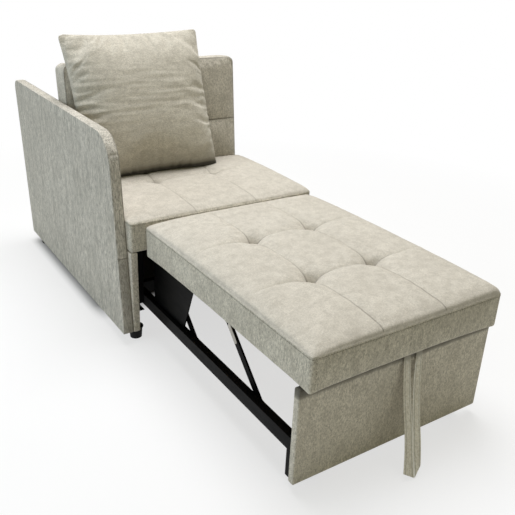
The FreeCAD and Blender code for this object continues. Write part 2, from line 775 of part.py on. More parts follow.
def make_strap():
    """A fabric band looped over the top of the front panel, its folded end near the floor."""
    centre = panel_x0 + strap_centre_from_left
    lift = strap_thickness / 2 + strap_clearance
    tail = strap_end_height + strap_fold_height
    diagonal = math.sqrt(0.5)
    front = panel_front - lift
    low_y = panel_front - strap_reach + strap_bend
    slope = math.atan2(front - low_y, panel_top - tail)
    outward = (math.cos(slope), math.sin(slope))
    route = [
        ((panel_rear + lift, panel_top - strap_back_drop), (1, 0)),
        ((panel_rear + lift, panel_top + lift), (diagonal, diagonal)),
        ((front, panel_top + lift), (-diagonal, diagonal)),
        ((low_y, tail), (-outward[0], outward[1])),
    ]
    limbs = []
    for side in (-1, 1):
        wires = []
        for index, (place, normal) in enumerate(route):
            low = index == len(route) - 1
            gap = strap_bottom_gap if low else strap_top_gap
            drift = strap_drift if low else 0
            near = centre + drift + side * gap / 2
            far = near + side * strap_width
            wires.append(strap_wire(min(near, far), max(near, far), place, normal))
        limbs.append(Part.makeLoft(wires, True, True))
    inner = strap_bottom_gap / 2 + strap_width
    end = centre + strap_drift
    tip = strap_tip_width / 2
    tip_place = (panel_front - strap_reach + strap_thickness / 2, strap_end_height)
    facing = (-outward[0], outward[1])
    fold = [strap_wire(end - inner, end + inner, (low_y, tail), facing),
            strap_wire(end - tip, end + tip, tip_place, facing)]
    limbs.append(Part.makeLoft(fold, True, True))
    return fuse(limbs)


def build():
    """Make every node of the object."""
    os.makedirs("parts", exist_ok=True)
    export("arm_core", make_arm_core())
    export("arm_cover", make_arm_cover())
    export("seat_deck", make_seat_deck())
    export("seat_cushion", make_seat_cushion())
    make_base()
    make_guide_channels()
    make_feet()
    make_backrest()
    make_hinge_bases()
    export("pillow", make_pillow())
    export("platform_board", make_platform_board())
    export("mattress", make_mattress())
    make_section_frame()
    make_links()
    make_zinc_plates()
    make_lift_plates()
    make_wheels()
    make_glides()
    make_channel_hangers()
    export("pull_strap", make_strap())


build()
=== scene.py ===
import json
import math
import bmesh
import bpy
from mathutils import Matrix, Vector, noise


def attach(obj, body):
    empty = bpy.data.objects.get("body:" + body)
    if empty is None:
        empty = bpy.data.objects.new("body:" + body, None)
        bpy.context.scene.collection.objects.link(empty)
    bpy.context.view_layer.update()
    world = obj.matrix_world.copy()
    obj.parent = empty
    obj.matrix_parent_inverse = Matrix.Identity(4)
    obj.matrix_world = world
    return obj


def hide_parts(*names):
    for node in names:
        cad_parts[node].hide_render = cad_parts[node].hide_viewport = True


# Chair bed, opened out. Its pieces are shaped in millimetres and kept in metres.
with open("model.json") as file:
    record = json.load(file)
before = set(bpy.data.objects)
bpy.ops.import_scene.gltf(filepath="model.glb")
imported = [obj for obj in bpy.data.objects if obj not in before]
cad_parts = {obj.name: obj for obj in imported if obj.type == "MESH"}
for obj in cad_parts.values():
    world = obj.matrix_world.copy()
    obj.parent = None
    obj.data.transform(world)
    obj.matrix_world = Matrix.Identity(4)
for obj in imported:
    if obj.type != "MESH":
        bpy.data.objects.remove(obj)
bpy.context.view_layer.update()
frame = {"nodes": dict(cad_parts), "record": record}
scene = bpy.context.scene

MM = 0.001

# ---------------------------------------------------------------- materials


def link(tree, source, target):
    """Join two sockets."""
    tree.links.new(source, target)


def set_inputs(made, **values):
    """Set a node's inputs by name."""
    for key, value in values.items():
        made.inputs[key.replace("_", " ")].default_value = value


def node(tree, kind, **values):
    """Add a node, and set its inputs by name."""
    made = tree.nodes.new(kind)
    set_inputs(made, **values)
    return made


def start_material(name):
    """A new material with its shader and its object coordinates."""
    made = bpy.data.materials.new(name)
    made.use_nodes = True
    tree = made.node_tree
    shader = tree.nodes["Principled BSDF"]
    place = node(tree, "ShaderNodeTexCoord").outputs["Object"]
    return made, tree, shader, place


def pattern(tree, place, scale, stretch=(1, 1, 1), detail=2.0, rough=0.5):
    """Noise over object coordinates, stretched along the axes."""
    mapping = node(tree, "ShaderNodeMapping", Scale=stretch)
    made = node(tree, "ShaderNodeTexNoise", Scale=scale, Detail=detail, Roughness=rough)
    link(tree, place, mapping.inputs["Vector"])
    link(tree, mapping.outputs["Vector"], made.inputs["Vector"])
    return made.outputs["Fac"]


def spread(tree, value, low, high, to_low=0.0, to_high=1.0):
    """Map a range of values onto another."""
    made = node(tree, "ShaderNodeMapRange", From_Min=low, From_Max=high, To_Min=to_low, To_Max=to_high)
    link(tree, value, made.inputs["Value"])
    return made.outputs["Result"]


def mix(tree, factor, first, second):
    """Mix two colours, each a socket or a colour."""
    made = node(tree, "ShaderNodeMix")
    made.data_type = "RGBA"
    for slot, value in ((0, factor), (6, first), (7, second)):
        if hasattr(value, "is_linked"):
            link(tree, value, made.inputs[slot])
        else:
            made.inputs[slot].default_value = value if slot == 0 else (*value, 1)
    return made.outputs[2]


def combine(tree, operation, first, second):
    """A math node over two sockets."""
    made = node(tree, "ShaderNodeMath")
    made.operation = operation
    link(tree, first, made.inputs[0])
    link(tree, second, made.inputs[1])
    return made.outputs[0]


def bump(tree, shader, layers):
    """Stack bumps: each layer is a height socket, a strength and a depth."""
    last = None
    for height, strength, depth in layers:
        made = node(tree, "ShaderNodeBump", Strength=strength, Distance=depth)
        link(tree, height, made.inputs["Height"])
        if last is not None:
            link(tree, last, made.inputs["Normal"])
        last = made.outputs["Normal"]
    link(tree, last, shader.inputs["Normal"])


def brushed_pile(name, light, dark, nap=(1, 1, 1), mottle=0.75, grit=1.0, seam=True):
    """Short brushed pile: fine fibres, small mottling and broad brushed patches.

    The seam attribute darkens sewn lines and carries painted shade, with painted contact shadows up to black
    past 1, and a negative one is paler.
    """
    made, tree, shader, place = start_material(name)
    fibre = pattern(tree, place, 900, detail=2, rough=0.6)
    grain = pattern(tree, place, 330, nap, 3, 0.75)
    flecks = pattern(tree, place, 200, nap, 4, 0.75)
    brushed = pattern(tree, place, 36, nap, 5, 0.7)
    broad = pattern(tree, place, 7, (1, 1, 1), 3, 0.5)
    shade = tuple(c * 0.55 for c in dark)
    deep = tuple(c * 0.80 for c in dark)
    pale = tuple(min(1.0, c * 1.22) for c in light)
    middle = tuple((a + b) / 2 for a, b in zip(light, dark))
    reach = 0.14 / grit
    layers = [(flecks, 0.50, 0.50 + reach, 0.0, mottle, deep),
              (flecks, 0.48, 0.48 - reach, 0.0, mottle, pale),
              (grain, 0.50, 0.50 + reach, 0.0, 0.7 * mottle, pale),
              (grain, 0.48, 0.48 - reach, 0.0, 0.7 * mottle, deep),
              (fibre, 0.38, 0.50, 0.4, 0.0, shade),
              (brushed, 0.5, 0.34, 0.0, 0.5 * mottle, dark),
              (broad, 0.42, 0.72, 0.0, 0.25, dark)]
    if seam:
        sewn = node(tree, "ShaderNodeAttribute")
        sewn.attribute_name = "seam"
        line = sewn.outputs["Fac"]
        # seam values past 1 are painted contact shadow, shading to near black
        painted_shadow_black = tuple(c * 0.12 for c in dark)
        layers += [(line, 0.0, -1.0, 0.0, 0.9, pale), (line, 0.2, 0.9, 0.0, 0.85, shade),
                   (line, 1.0, 2.0, 0.0, 0.9, painted_shadow_black)]
    tone = mix(tree, spread(tree, brushed, 0.38, 0.64), middle, light)
    for value, low, high, to_low, to_high, colour in layers:
        tone = mix(tree, spread(tree, value, low, high, to_low, to_high), tone, colour)
    link(tree, tone, shader.inputs["Base Color"])
    set_inputs(shader, Roughness=0.92, Specular_IOR_Level=0.12, Sheen_Weight=0.22, Sheen_Roughness=0.5,
               Sheen_Tint=(0.92, 0.92, 0.90, 1))
    bump(tree, shader, [(brushed, 0.3, 0.0018), (flecks, 0.6, 0.0016), (grain, 0.6, 0.0009),
                        (fibre, 0.5, 0.0004)])
    return made


def coated_steel(name, colour, roughness):
    """Powder coated steel with a slight orange peel and rubbed places."""
    made, tree, shader, place = start_material(name)
    peel = pattern(tree, place, 700, detail=2)
    rub = pattern(tree, place, 24, (1, 0.25, 1), 4, 0.7)
    worn = tuple(c * 2.0 + 0.0015 for c in colour)
    link(tree, mix(tree, spread(tree, rub, 0.56, 0.8, 0.0, 0.8), colour, worn),
         shader.inputs["Base Color"])
    link(tree, spread(tree, rub, 0.3, 0.75, roughness + 0.08, roughness - 0.08),
         shader.inputs["Roughness"])
    set_inputs(shader, Specular_IOR_Level=0.06)
    bump(tree, shader, [(peel, 0.25, 0.0003)])
    return made


def zinc(name):
    """Bright zinc plate: a metal with brush lines and cloudy spangle."""
    made, tree, shader, place = start_material(name)
    strokes = pattern(tree, place, 420, (1, 0.05, 0.05), 2)
    cloud = pattern(tree, place, 40, (1, 1, 1), 4, 0.6)
    link(tree, mix(tree, spread(tree, cloud, 0.35, 0.7), (0.33, 0.315, 0.28), (0.52, 0.50, 0.45)),
         shader.inputs["Base Color"])
    link(tree, spread(tree, cloud, 0.3, 0.7, 0.32, 0.5), shader.inputs["Roughness"])
    set_inputs(shader, Metallic=1.0)
    bump(tree, shader, [(strokes, 0.2, 0.0002)])
    return made


def plywood(name):
    """Plain plywood with long grain and knots of darker tone."""
    made, tree, shader, place = start_material(name)
    grain = pattern(tree, place, 60, (8, 0.5, 8), 5, 0.65)
    figure = pattern(tree, place, 7, (2.4, 0.35, 2.4), 3, 0.5)
    base = mix(tree, spread(tree, grain, 0.35, 0.68), (0.50, 0.34, 0.19), (0.68, 0.51, 0.33))
    link(tree, mix(tree, spread(tree, figure, 0.45, 0.65, 0.0, 0.45), base, (0.42, 0.27, 0.15)),
         shader.inputs["Base Color"])
    link(tree, spread(tree, grain, 0.3, 0.7, 0.62, 0.8), shader.inputs["Roughness"])
    bump(tree, shader, [(grain, 0.3, 0.0006)])
    return made


def moulded(name, colour, roughness, scale=520):
    """Moulded plastic or rubber with a fine grain and dusty places."""
    made, tree, shader, place = start_material(name)
    grain = pattern(tree, place, scale, detail=3, rough=0.6)
    dust = pattern(tree, place, 30, (1, 1, 1), 4, 0.6)
    pale = tuple(c * 1.8 + 0.006 for c in colour)
    link(tree, mix(tree, spread(tree, dust, 0.5, 0.8, 0.0, 0.6), colour, pale),
         shader.inputs["Base Color"])
    link(tree, spread(tree, dust, 0.3, 0.75, roughness - 0.08, roughness + 0.1),
         shader.inputs["Roughness"])
    set_inputs(shader, Specular_IOR_Level=0.2)
    bump(tree, shader, [(grain, 0.35, 0.0004)])
    return made


def lining_cloth(name):
    """Thin black bonded cloth, as stapled inside and under upholstery."""
    made, tree, shader, place = start_material(name)
    press = pattern(tree, place, 480, detail=2)
    web = pattern(tree, place, 1400, detail=2)
    link(tree, mix(tree, spread(tree, web, 0.35, 0.65), (0.004, 0.004, 0.004), (0.012, 0.012, 0.012)),
         shader.inputs["Base Color"])
    set_inputs(shader, Roughness=0.95, Specular_IOR_Level=0.1)
    bump(tree, shader, [(press, 0.4, 0.0005), (web, 0.5, 0.0002)])
    return made


# each cloth: its light and dark shades, the lie of its nap, its mottling and its grit; the copies of the one
# beige pile differ in tone partly as painted light, the front panel's paler and the arm's darker, to even out
# how the lamps fall on them
UPRIGHT = (1, 1, 0.5)
pile = brushed_pile("brushed_pile_beige", (0.650, 0.608, 0.530), (0.420, 0.388, 0.330),
                    mottle=0.4, grit=0.8)
band_pile = brushed_pile("brushed_pile_band", (0.680, 0.636, 0.535), (0.350, 0.323, 0.264),
                         UPRIGHT, 0.62, 1.25)
back_pile = brushed_pile("brushed_pile_upright", (0.660, 0.618, 0.535), (0.375, 0.346, 0.290),
                         UPRIGHT, 0.6, 1.2)
panel_pile = brushed_pile("brushed_pile_panel", (0.740, 0.690, 0.590), (0.430, 0.395, 0.328),
                          UPRIGHT, 0.66, 1.3)
arm_pile = brushed_pile("brushed_pile_arm", (0.635, 0.597, 0.522), (0.330, 0.309, 0.264),
                        (1, 1, 0.2), 0.95, 1.1)
pillow_pile = brushed_pile("brushed_pile_pillow", (0.670, 0.630, 0.538), (0.420, 0.388, 0.324),
                           (0.7, 1, 1.2), 0.5)
webbing = brushed_pile("folded_webbing", (0.97, 0.92, 0.80), (0.68, 0.635, 0.54), UPRIGHT, 0.6, 1.2)
thread = brushed_pile("sewing_thread", (0.26, 0.235, 0.185), (0.17, 0.15, 0.115), seam=False)
lining = lining_cloth("black_lining_cloth")
black_coat = coated_steel("black_powder_coat", (0.0010, 0.0010, 0.0010), 0.45)
zinc_plate = zinc("zinc_plate")
ply = plywood("plywood")
black_plastic = moulded("black_plastic", (0.006, 0.006, 0.0065), 0.6)
black_rubber = moulded("black_rubber", (0.02, 0.02, 0.02), 0.8, 260)
NODE_MATERIALS = {"black_metal": black_coat, "bright_steel": zinc_plate, "timber": ply,
                  "black_plastic": black_plastic, "wheel_rubber": black_rubber}

# ---------------------------------------------------------------- mesh helpers


def grid_block(low, high, counts):
    """A closed block of even quads between two corners."""
    bm = bmesh.new()
    bmesh.ops.create_cube(bm, size=1.0)
    bmesh.ops.scale(bm, vec=high - low, verts=bm.verts)
    bmesh.ops.translate(bm, vec=(low + high) / 2, verts=bm.verts)
    for axis, count in enumerate(counts):
        along = [e for e in bm.edges if abs(e.verts[0].co[axis] - e.verts[1].co[axis]) > 1e-7]
        if count > 1:
            bmesh.ops.subdivide_edges(bm, edges=along, cuts=count - 1, use_grid_fill=True)
    return bm


# whether each corner of a plane is at the high end of its first axis and of its second
CORNERS = ((False, False), (True, False), (False, True), (True, True))


def round_plane(point, low, high, first, second, radii):
    """Round the block's corners in one plane, each by its own radius."""
    for (at_high_1, at_high_2), radius in zip(CORNERS, radii):
        edge_1 = high[first] if at_high_1 else low[first]
        edge_2 = high[second] if at_high_2 else low[second]
        sign_1, sign_2 = (-1 if at_high_1 else 1), (-1 if at_high_2 else 1)
        a = radius - (point[first] - edge_1) * sign_1
        b = radius - (point[second] - edge_2) * sign_2
        if a > 0 and b > 0:
            reach = max(a, b)
            length = math.hypot(a, b)
            point[first] = edge_1 + sign_1 * (radius - a / length * reach)
            point[second] = edge_2 + sign_2 * (radius - b / length * reach)


def soften(point, low, high, radius):
    """Round every edge of the block by the same small radius."""
    core = Vector([min(max(point[i], low[i] + radius), high[i] - radius) for i in range(3)])
    away = point - core
    if away.length > 1e-9:
        point[:] = core + away.normalized() * radius


def ripple(x, y, z, size, seed=0.0):
    """Smooth noise between -1 and 1."""
    return noise.noise(Vector((x / size + seed, y / size - seed, z / size + seed * 0.5)))


def finish_piece(name, bm, material, body, nodes=(), levels=1, lined=None):
    """Turn a mesh into a finished piece that rides on its body, and hide the CAD parts it replaces.

    lined picks a cloth for each face: 0 the material, 1 the black lining, 2 the band's pile.
    """
    bmesh.ops.recalc_face_normals(bm, faces=bm.faces)
    if lined:
        bm.normal_update()
        for face in bm.faces:
            face.material_index = int(lined(face.calc_center_median(), face.normal))
    mesh = bpy.data.meshes.new(name)
    bm.to_mesh(mesh)
    bm.free()
    mesh.shade_smooth()
    mesh.materials.append(material)
    if lined:
        mesh.materials.append(lining)
        mesh.materials.append(band_pile)
    piece = bpy.data.objects.new(name, mesh)
    scene.collection.objects.link(piece)
    if levels:
        smooth = piece.modifiers.new("smooth", "SUBSURF")
        smooth.levels = smooth.render_levels = levels
        smooth.boundary_smooth = "PRESERVE_CORNERS"
    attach(piece, body)
    if nodes:
        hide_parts(*nodes)
    return piece


def puff(bm, name, held, pressure, growth, cap, frames=20, stiff=15.0, bend=0.6):
    """Swell a closed cloth shape with air, keep what the held weights pin, and cap the movement."""
    mesh = bpy.data.meshes.new(name + "_cloth")
    bmesh.ops.recalc_face_normals(bm, faces=bm.faces)
    bm.verts.ensure_lookup_table()
    weights = [held(v.co) for v in bm.verts]
    bm.to_mesh(mesh)
    body = bpy.data.objects.new(name + "_cloth", mesh)
    scene.collection.objects.link(body)
    group = body.vertex_groups.new(name="held")
    for index, weight in enumerate(weights):
        if weight > 0:
            group.add([index], weight, "REPLACE")
    cloth = body.modifiers.new("cloth", "CLOTH")
    settings = cloth.settings
    settings.quality = 6
    settings.mass = 0.25
    settings.tension_stiffness = settings.compression_stiffness = stiff
    settings.shear_stiffness = stiff / 3
    settings.bending_stiffness = bend
    settings.use_pressure = True
    settings.uniform_pressure_force = pressure
    settings.effector_weights.gravity = 0.0
    settings.vertex_group_mass = "held"
    settings.shrink_min = -growth
    cloth.collision_settings.use_collision = False
    cloth.point_cache.frame_start, cloth.point_cache.frame_end = 1, frames
    for number in range(1, frames + 1):
        scene.frame_set(number)
    settled = body.evaluated_get(bpy.context.evaluated_depsgraph_get()).to_mesh()
    for vert, after in zip(bm.verts, settled.vertices):
        move = after.co - vert.co
        if move.length > 0:
            move *= cap * math.tanh(move.length / cap) / move.length
        vert.co += move
    bpy.data.objects.remove(body)
    scene.frame_set(1)
    return bm


def carve(piece, low, high):
    """Cut a box out of a smoothed piece, where a rigid part sits in it, and keep the result as its mesh."""
    bm = grid_block(low, high, (1, 1, 1))
    mesh = bpy.data.meshes.new("cutter")
    bm.to_mesh(mesh)
    bm.free()
    cutter = bpy.data.objects.new("cutter", mesh)
    scene.collection.objects.link(cutter)
    cut = piece.modifiers.new("cut", "BOOLEAN")
    cut.operation, cut.solver, cut.object = "DIFFERENCE", "EXACT", cutter
    evaluated = piece.evaluated_get(bpy.context.evaluated_depsgraph_get())
    result = bpy.data.meshes.new_from_object(evaluated)
    piece.modifiers.clear()
    piece.data = result
    bpy.data.objects.remove(cutter)
    result.shade_smooth()


def mm(*values):
    """A vector given in millimetres."""
    return Vector(values) * MM


def lines(low, high, count, crowd=0.0, panels=1):
    """Grid line positions between two numbers, crowded towards the ends of each panel."""
    made = []
    for index in range(count + 1):
        whole = index * panels / count
        panel = min(int(whole), panels - 1)
        share = whole - panel
        share -= crowd * math.sin(2 * math.pi * share) / (2 * math.pi)
        made.append(low + (high - low) * (panel + share) / panels)
    return made


def block_of(xs, ys, zs):
    """A closed block whose grid lines lie at the given positions, in millimetres."""
    counts = (len(xs) - 1, len(ys) - 1, len(zs) - 1)
    bm = grid_block(Vector((0, 0, 0)), Vector((1, 1, 1)), counts)
    bm.verts.layers.float.new("seam")
    for vert in bm.verts:
        vert.co = Vector([axis[round(vert.co[i] * counts[i])] for i, axis in enumerate((xs, ys, zs))])
    return bm


def to_metres(bm):
    """Scale a mesh made in millimetres."""
    bmesh.ops.scale(bm, vec=Vector((MM, MM, MM)), verts=bm.verts)
    return bm


def store_seams_and_shade(bm, strengths, share=1.0):
    """Store how strongly each point belongs to a sewn line, and how much painted shade and painted contact
    shadow it takes.
    """
    layer = bm.verts.layers.float["seam"]
    for vert, value in strengths.items():
        vert[layer] = value * share


def bell(distance, width):
    """A smooth bump of height one."""
    return math.exp(-(distance / width) ** 2)


STITCH_WIDTH = 1.5


def stitches(name, path, body, pitch=8.5, length=5.2):
    """A row of sewn stitches along a path of points in millimetres."""
    bm = bmesh.new()
    rest = 0.0
    for start, end in zip(path, path[1:]):
        run = end - start
        span = run.length
        along = run.normalized()
        turn = along.to_track_quat("X", "Z").to_matrix().to_4x4()
        at = rest
        while at < span:
            made = bmesh.ops.create_icosphere(bm, subdivisions=1, radius=0.5)["verts"]
            size = Matrix.Diagonal(Vector((length, STITCH_WIDTH, STITCH_WIDTH, 1)))
            bmesh.ops.transform(bm, matrix=Matrix.Translation(start + along * at) @ turn @ size, verts=made)
            at += pitch
        rest = at - span
    return finish_piece(name, to_metres(bm), thread, body, levels=0)


def resting(path, piece, step=10.0):
    """The path in short steps, each laid on the nearest place of a finished piece."""
    made = []
    for start, end in zip(path, path[1:]):
        count = max(1, round((end - start).length / step))
        for index in range(count):
            point = start + (end - start) * index / count
            _, place, normal, _ = piece.closest_point_on_mesh(point * MM)
            made.append(place / MM + normal * 0.1)
    made.append(made[-1] + (path[-1] - path[-2]).normalized())
    return made


# ---------------------------------------------------------------- tufted cushions


ROLLED_EDGE = 9.0
TOPSTITCH_DROP = 7.0
EDGE_TURN = 2.6
LEFT_ROLL, RIGHT_ROLL = 0.3, 0.78
REAR_SPREAD, SPREAD_WIDTH = 7, 60


def roll_over(inside, quick):
    """Share of the crown reached inside the edge seam: the quick share rises at the edge."""
    inside = max(0.0, inside)
    return quick * (1 - math.exp(-inside / 5.5)) + (1 - quick) * (1 - math.exp(-inside / 58))


def stitch_edge(name, low, high, corner_radii, body, piece):
    """Top-stitched lines on the band: one below the edge seam all round, one beside each front corner."""
    x0, y0, z0 = low
    x1, y1, edge = high
    inset = 0.6
    turns = {(False, False): 180, (True, False): 270, (True, True): 0, (False, True): 90}
    path = []
    for (at_x, at_y), turn in turns.items():
        radius = corner_radii[CORNERS.index((at_x, at_y))]
        centre = Vector((x1 - radius if at_x else x0 + radius, y1 - radius if at_y else y0 + radius,
                         edge - TOPSTITCH_DROP))
        for step in range(7):
            angle = math.radians(turn + 90 * step / 6)
            path.append(centre + Vector((math.cos(angle), math.sin(angle), 0)) * (radius + inset))
    path.append(path[0])
    stitches(name, resting(path, piece), body)
    for side, x in (("left", x0 + 14), ("right", x1 - 14)):
        upright = [Vector((x, y0 - 3, edge - 11)), Vector((x, y0 - 3, z0 + 9))]
        stitches(name + "_" + side, resting(upright, piece), body, 7.0, 4.6)


def tufted(name, low, high, rises, columns, tuft_rows, corner_radii, node_name, body, recess,
           depth, pull, counts, ends, swell_cap, front_drop=0.0, hang=0.0, marked=1.0):
    """A boxed cushion: crowned top sewn in panels, pulled down at tufts, over a plain band.

    rises: height of the crown at the front, the middle and the rear. depth and pull: how deep the
    sewn lines and the tufts lie. ends: how quickly the crown rises at the front and the rear.
    front_drop: sag of the front edge. hang: sag of the band's lower edge. marked: how dark the lines are.
    """
    x0, y0, z0 = low
    x1, y1, edge = high
    xs = lines(x0, x1, counts[0], 0.5, columns)
    ys = []
    marks = [y0, *tuft_rows, y1]
    per_row = counts[1] // (len(marks) - 1)
    for first, second in zip(marks, marks[1:]):
        ys += lines(first, second, per_row, 0.5)[:-1]
    ys.append(y1)
    zs = [z0 + up for up in (0, 3, 6.5, 11)] + [z0 + (edge - z0) * s for s in (0.18, 0.32, 0.48, 0.66)]
    zs += [edge - down for down in (20, 13, 9.2, 7.0, 4.8, 2.2, 0)]
    columns_x = [x0 + (x1 - x0) * c / columns for c in range(1, columns)]
    tufts = [Vector((x, y)) for x in columns_x for y in tuft_rows]
    bm = block_of(xs, ys, zs)

    def channel(x, y):
        """How deep the sewn lines lie at a place, how far the nearest tuft is, and how near a line is."""
        near_tuft = min((Vector((x, y)) - t).length for t in tufts)
        deep = 0.4 + depth * math.exp(-(near_tuft / 50) ** 1.3)
        off_x = min(abs(x - c) for c in columns_x)
        off_y = min(abs(y - r) for r in tuft_rows)
        end_fade = min(1.0, max(0.0, min(y - y0, y1 - y) / 90))
        side_fade = min(1.0, max(0.0, min(x - x0, x1 - x) / 150)) ** 0.7
        lengthwise = deep * (0.6 + 0.4 * end_fade) * math.exp(-off_x / 17) + 1.8 * bell(off_x, 2.6)
        across = side_fade * (deep * math.exp(-off_y / 17) + 1.6 * bell(off_y, 2.6))
        line = max(bell(off_x, 2.3), bell(off_y, 2.3) * side_fade * 0.9)
        return max(lengthwise, across) + 0.3 * min(lengthwise, across), near_tuft, line

    def crown(x, y):
        """Height of the crown above the edge seam."""
        u = 2 * (x - x0) / (x1 - x0) - 1
        v = (y - y0) / (y1 - y0)
        front, middle, rear = rises
        along = front * (1 - v) ** 3 + rear * v ** 3 + middle * (1 - (1 - v) ** 3 - v ** 3)
        side = min(roll_over(x - x0, LEFT_ROLL), roll_over(x1 - x, RIGHT_ROLL))
        end = min(roll_over(y - y0, ends[0] + 0.38 * max(0.0, u) ** 3), roll_over(y1 - y, ends[1]))
        return along * side * end

    def rim_of(x, y):
        """Distance from the nearest side."""
        return min(x - x0, x1 - x, y - y0, y1 - y)

    seam_and_shade_of = {}
    for vert in bm.verts:
        x, y, z = vert.co
        if z >= edge - 0.01:
            rim = rim_of(x, y)
            deep, near, line = channel(x, y)
            inside = min(1.0, rim / 28)
            dimple = pull * math.exp(-(near / 24) ** 1.6)
            folds = 1.8 * math.exp(-near / 80) * ripple(x, y, 0, 22, 3.1)
            soft = 1.6 * ripple(x, y, 0, 95, 7.7) + 0.8 * ripple(x, y, 0, 38, 1.9)
            vert.co.z = edge + crown(x, y) + inside * (soft + folds - deep - dimple)
            # the sewn lines are drawn darker near the tufts and the front, and the tuft dimples take painted
            # shade
            line *= marked * (0.42 + 0.5 * max(bell(near, 75), bell(y - y0, 200)))
            seam_and_shade_of[vert] = max(line, 0.55 * bell(near, 17)) if rim > 1 else 0.12
        else:
            seam_and_shade_of[vert] = bell(edge - z - TOPSTITCH_DROP, 1.6) * 0.62
        point = Vector((x, y, vert.co.z))
        round_plane(point, low, high, 0, 1, corner_radii)
        vert.co = point
    for vert in bm.verts:
        x, y, z = vert.co
        share = min(1.0, (z - z0) / (edge - z0))
        side = Vector((0.0, 0.0, 0.0))
        along_x = min(x - x0, x1 - x) / 60
        along_y = min(y - y0, y1 - y) / 60
        swell = 4 * share * (1 - share) if z < edge else 0.0
        wave = ripple(x, y, z * 0.35, 46, 5.3) * 1.1 + ripple(x, y, z * 0.3, 17, 2.3) * 0.5
        down = edge - z if z < edge else 0.0
        turned = EDGE_TURN - math.sqrt(max(0.0, EDGE_TURN ** 2 - max(0.0, EDGE_TURN - down) ** 2))
        push = swell * (3.8 + wave) - 0.9 * bell(down - TOPSTITCH_DROP, 1.9) - turned
        if x - x0 < 0.5:
            side.x -= push * min(1.0, along_y)
        if x1 - x < 0.5:
            side.x += push * min(1.0, along_y)
        if y - y0 < 0.5:
            side.y -= push * min(1.0, along_x)
        if y1 - y < 0.5:
            side.y += push * min(1.0, along_x)
        to_corner = math.hypot(min(x - x0, x1 - x), min(y - y0, y1 - y))
        vert.co.z -= share ** 2 * (front_drop * math.exp(-(y - y0) / 22) + 0.8 * math.exp(-to_corner / 20))
        if z < z0 + ROLLED_EDGE:
            point = Vector((x, y, z))
            core = Vector((min(max(x, x0 + ROLLED_EDGE), x1 - ROLLED_EDGE),
                           min(max(y, y0 + ROLLED_EDGE), y1 - ROLLED_EDGE), z0 + ROLLED_EDGE))
            away = point - core
            if away.length > ROLLED_EDGE:
                point = core + away.normalized() * ROLLED_EDGE
            vert.co = point
        if share < 0.5 and rim_of(x, y) < 12:
            across = 2 * (x - x0) / (x1 - x0) - 1
            lift = hang * (1 - across ** 2) * math.exp(-(y - y0) / 8) - hang * math.exp(-to_corner / 45)
            vert.co.z += (1 - 2 * share) * (1.3 * ripple(x, y, 0, 75, 4.1) + lift)
        if hang and x < x0 + SPREAD_WIDTH:
            # the mattress is a little wider at the rear left
            vert.co.x -= REAR_SPREAD * ((y - y0) / (y1 - y0)) ** 4 * (1 - (x - x0) / SPREAD_WIDTH)
        vert.co += side
    store_seams_and_shade(bm, seam_and_shade_of)

    def held(point):
        """Pin the band, the seams and the tufts for the cloth pass."""
        x, y, z = point / MM
        if z < edge - 6:
            return 1.0
        _, near, line = channel(x, y)
        rim = rim_of(x, y)
        return max(line * 0.9, 1.0 if near < 7 else 0.0, 1.0 if rim < 3 else 0.0, 0.75 * bell(rim, 22))

    def cloth(at, normal):
        """Plain pile on top, the band's cut of it on the sides, lining underneath."""
        if at.z < (z0 + 3) * MM and normal.z < -0.9 and rim_of(at.x / MM, at.y / MM) > 9:
            return 1
        return 2 if at.z < (edge - 1.5) * MM else 0

    puff(to_metres(bm), name, held, 1.6, 0.010, swell_cap)
    piece = finish_piece(name, bm, pile, body, (node_name,), lined=cloth)
    carve(piece, *recess)
    stitch_edge(name + "_stitching", low, high, corner_radii, body, piece)


SEAT_ROW = 243.5
MATTRESS_ROWS = (-657.5, -365.5)

tufted("bed_mattress", (-283, -949.5, 317), (361, -73.5, 417), (27, 35, 27), 3, MATTRESS_ROWS,
       (9, 9, 12, 14), "mattress", "bed_platform", (mm(-269.5, -926, 300), mm(347.5, -97, 332.6)),
       depth=18.0, pull=24.0, counts=(72, 99), ends=(0.4, 0.6), swell_cap=0.0032, hang=5.0)
tufted("seat_pad", (-339.5, -71.5, 332), (375, 444.5, 437), (11, 20, 17), 3, (SEAT_ROW,),
       (10, 12, 10, 14), "seat_cushion", "chair_base", (mm(-316, -48, 320), mm(351.5, 421, 350.6)),
       depth=6.0, pull=13.0, counts=(72, 60), ends=(0.5, 0.5), swell_cap=0.0022, front_drop=4.0,
       marked=0.75)

# ---------------------------------------------------------------- arm

ARM_X = (-377, -341)
ARM_LENGTH = 1046
ARM_FOOT, ARM_TOP = 41, 706
ARM_ROUND, ARM_REAR_ROUND = 94, 36
ARM_BEVEL = 9.0
BAND_JOINT, BAND_PINCH = 309, 648


def arm_ends(z):
    """Front and rear lines of the arm at a height: both lean back."""
    return -71.5 + (z - ARM_FOOT) * 0.0928, 971.5 + (z - ARM_FOOT) * 0.0792


